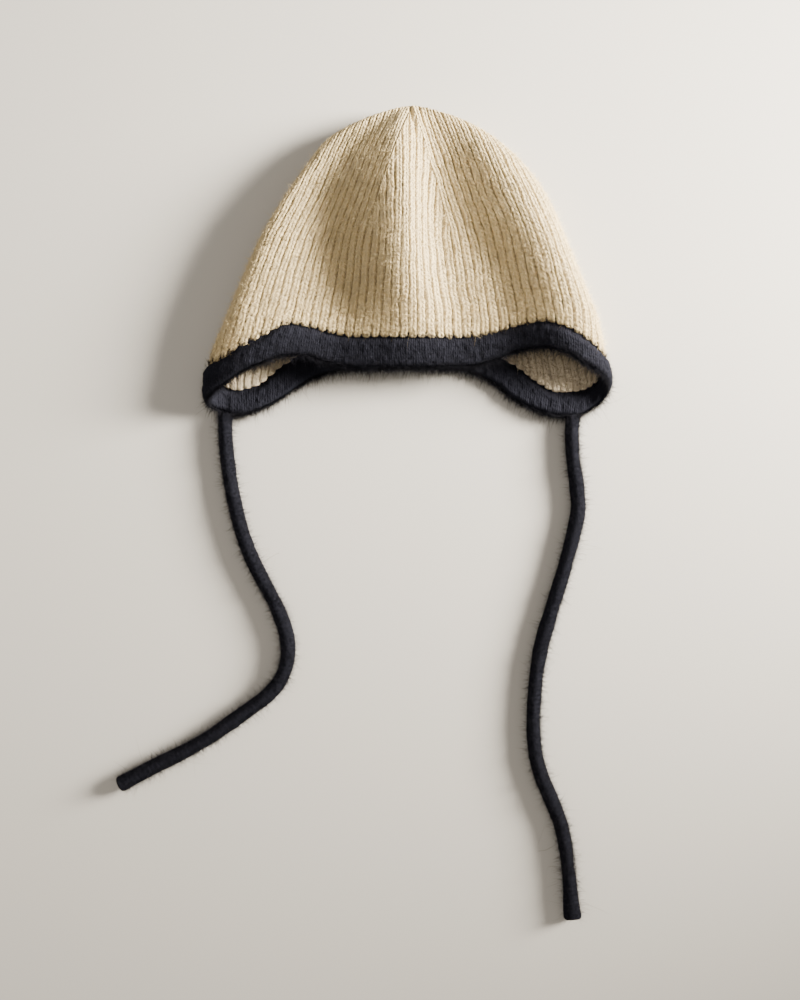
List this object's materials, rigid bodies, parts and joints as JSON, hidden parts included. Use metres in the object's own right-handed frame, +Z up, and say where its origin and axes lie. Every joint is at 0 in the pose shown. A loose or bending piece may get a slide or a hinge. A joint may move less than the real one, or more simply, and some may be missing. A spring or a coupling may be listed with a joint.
{
  "type": "earflap beanie",
  "caption": "Rib-knit baby beanie with ear flaps, a contrasting knitted-on edge and a tie cord at each flap, lying flat.",
  "frame": {"origin": "bottom centre of the hat's box without its ties, on the surface that the hat lies on", "axes": "+X across the hat from the left ear flap to the right one, +Y from the rim to the tip, +Z up from the surface, through the back layer to the front layer"},
  "size_m": [0.2433, 0.3976, 0.0305],
  "materials": {
    "cream_wool": "soft rib-knit wool, slightly hairy",
    "black_wool": "soft knitted wool, hairy",
    "black_cord": "round knitted wool cord, hairy"
  },
  "bodies": {
    "root": {"crown": "cream_wool", "brim_band": "black_wool", "tie_left": "black_cord", "tie_right": "black_cord"}
  },
  "joints": []
}
